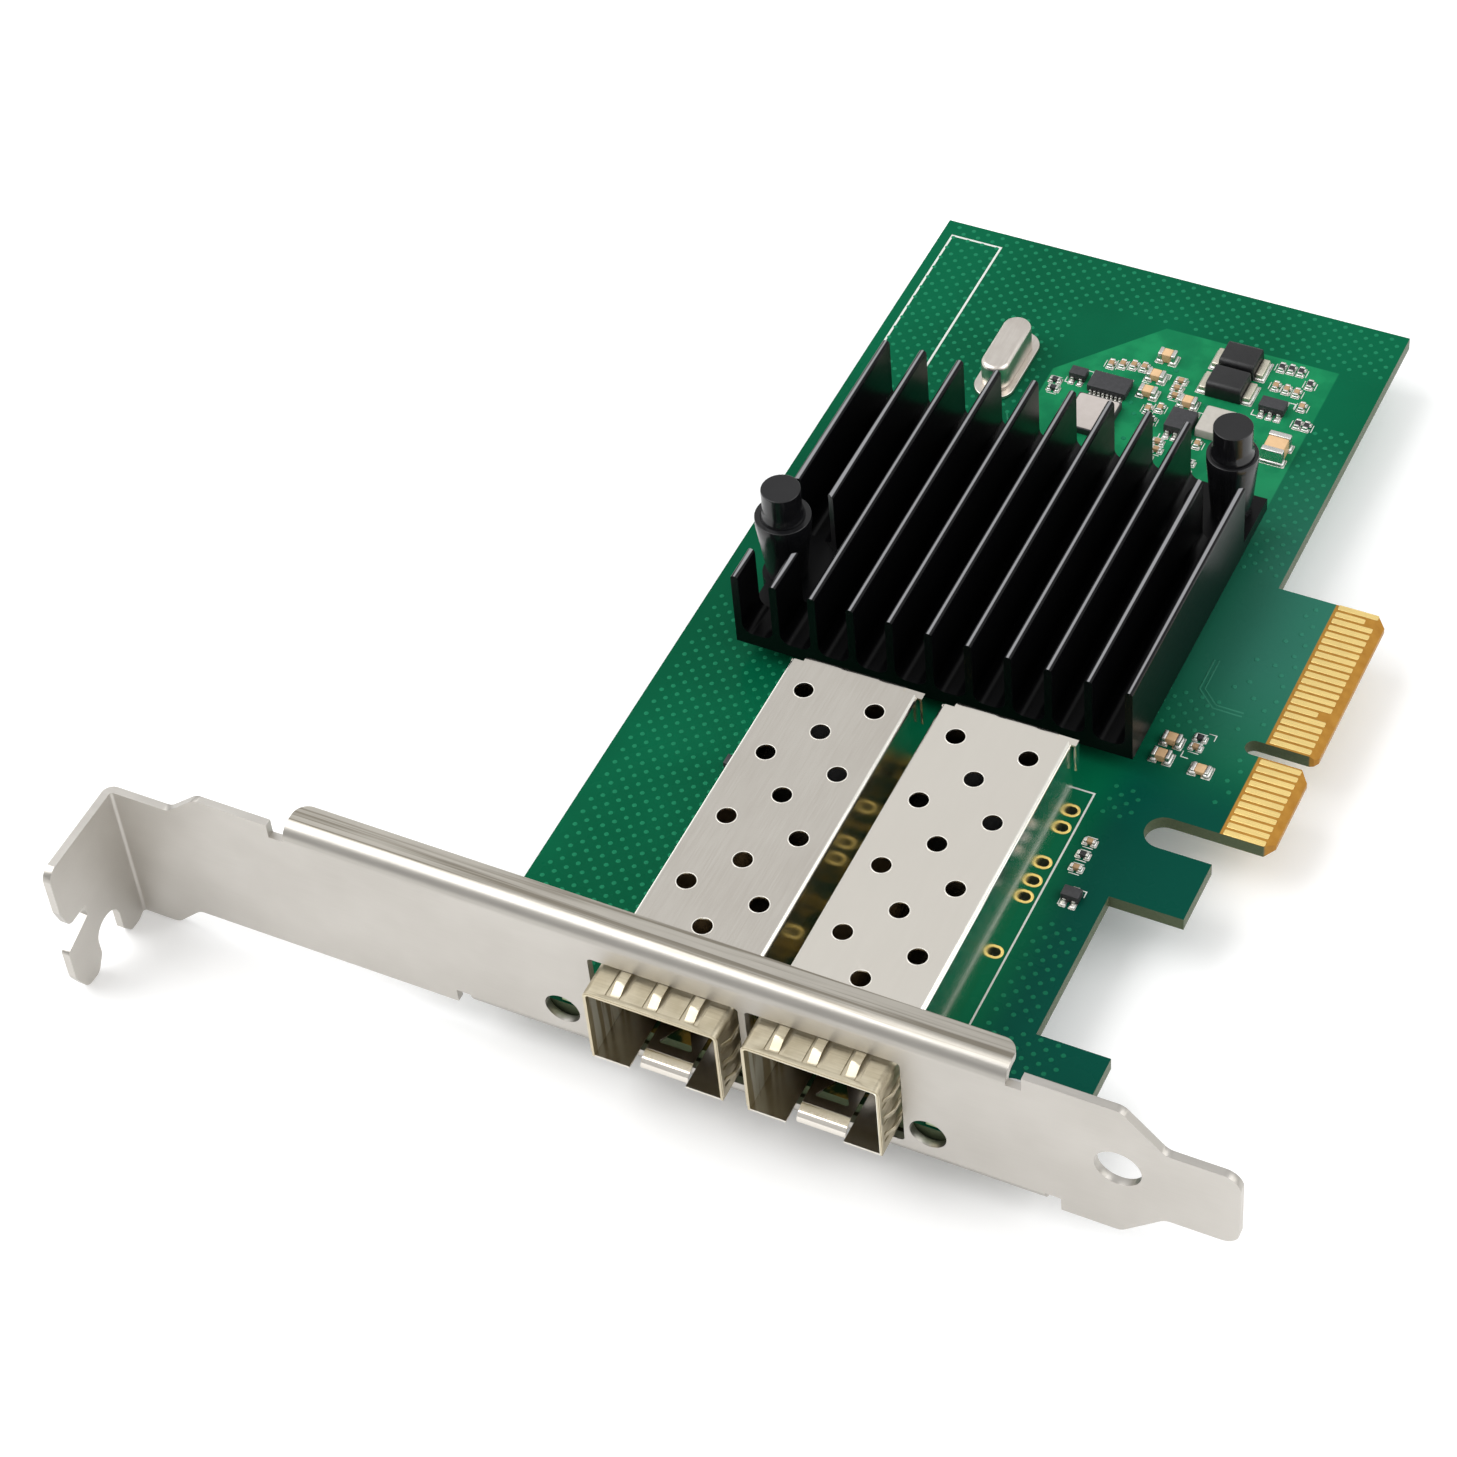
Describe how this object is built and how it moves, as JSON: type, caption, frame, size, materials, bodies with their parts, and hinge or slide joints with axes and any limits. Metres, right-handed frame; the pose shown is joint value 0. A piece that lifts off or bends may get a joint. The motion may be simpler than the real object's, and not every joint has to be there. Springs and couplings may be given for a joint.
{
  "type": "network interface card",
  "caption": "Low-profile expansion card with pluggable optical ports in folded cages, a finned black heatsink, gold edge contacts and a full-height slot bracket.",
  "frame": {"origin": "bottom centre of the card's box, as it lies with its component side up", "axes": "+Z out of the component side, +Y from the bracket into the card, +X from the bracket's screw tab towards the edge contacts"},
  "size_m": [0.12, 0.1322, 0.0236],
  "materials": {
    "solder_mask": "glossy green solder mask on woven FR-4",
    "gold_plating": "bright gold plating",
    "bracket_steel": "satin nickel-plated steel",
    "cage_metal": "smooth rolled nickel silver",
    "spring_metal": "tinned spring sheet, slightly warm",
    "screw_steel": "zinc-plated steel",
    "connector_black": "matt black moulding",
    "tin_leads": "soft tin plating",
    "black_anodised": "black anodised aluminium, satin",
    "black_nylon": "black nylon, slightly glossy",
    "mould_black": "dark grey epoxy moulding",
    "carrier_laminate": "green chip carrier laminate",
    "thermal_rubber": "soft grey thermal pad",
    "crystal_metal": "satin nickel can",
    "coil_black": "smooth black epoxy",
    "ceramic_tan": "fired tan ceramic",
    "resistor_black": "black glaze on white ceramic",
    "solder_ends": "bright solder",
    "light_case": "white moulding",
    "choke_grey": "light grey ferrite moulding",
    "light_lens": "milky lens"
  },
  "bodies": {
    "root": {"circuit_board": "solder_mask", "edge_contacts": "gold_plating", "bracket": "bracket_steel", "bracket_screws": "screw_steel", "port_cage_left": "cage_metal", "port_floor_left": "cage_metal", "spring_collar_left": "spring_metal", "inner_connector_left": "connector_black", "connector_leads_left": "tin_leads", "port_cage_right": "cage_metal", "port_floor_right": "cage_metal", "spring_collar_right": "spring_metal", "inner_connector_right": "connector_black", "connector_leads_right": "tin_leads", "heatsink": "black_anodised", "controller_carrier": "carrier_laminate", "controller_cap": "mould_black", "thermal_pad": "thermal_rubber", "pin_sleeve_left": "black_nylon", "pin_plunger_left": "black_nylon", "pin_sleeve_right": "black_nylon", "pin_plunger_right": "black_nylon", "crystal_base": "crystal_metal", "crystal_can": "crystal_metal", "flash_chip": "mould_black", "shielded_inductor": "choke_grey", "memory_chip": "mould_black", "memory_chip_leads": "tin_leads", "regulator": "mould_black", "regulator_leads": "tin_leads", "power_chip": "mould_black", "power_chip_leads": "tin_leads", "transistors": "mould_black", "transistor_leads": "tin_leads", "power_inductors": "coil_black", "inductor_tags": "solder_ends", "large_capacitors": "ceramic_tan", "large_capacitor_ends": "solder_ends", "small_capacitors": "ceramic_tan", "small_capacitor_ends": "solder_ends", "chip_resistors": "resistor_black", "chip_resistor_ends": "solder_ends", "light_cases": "light_case", "light_lenses": "light_lens"}
  },
  "joints": []
}
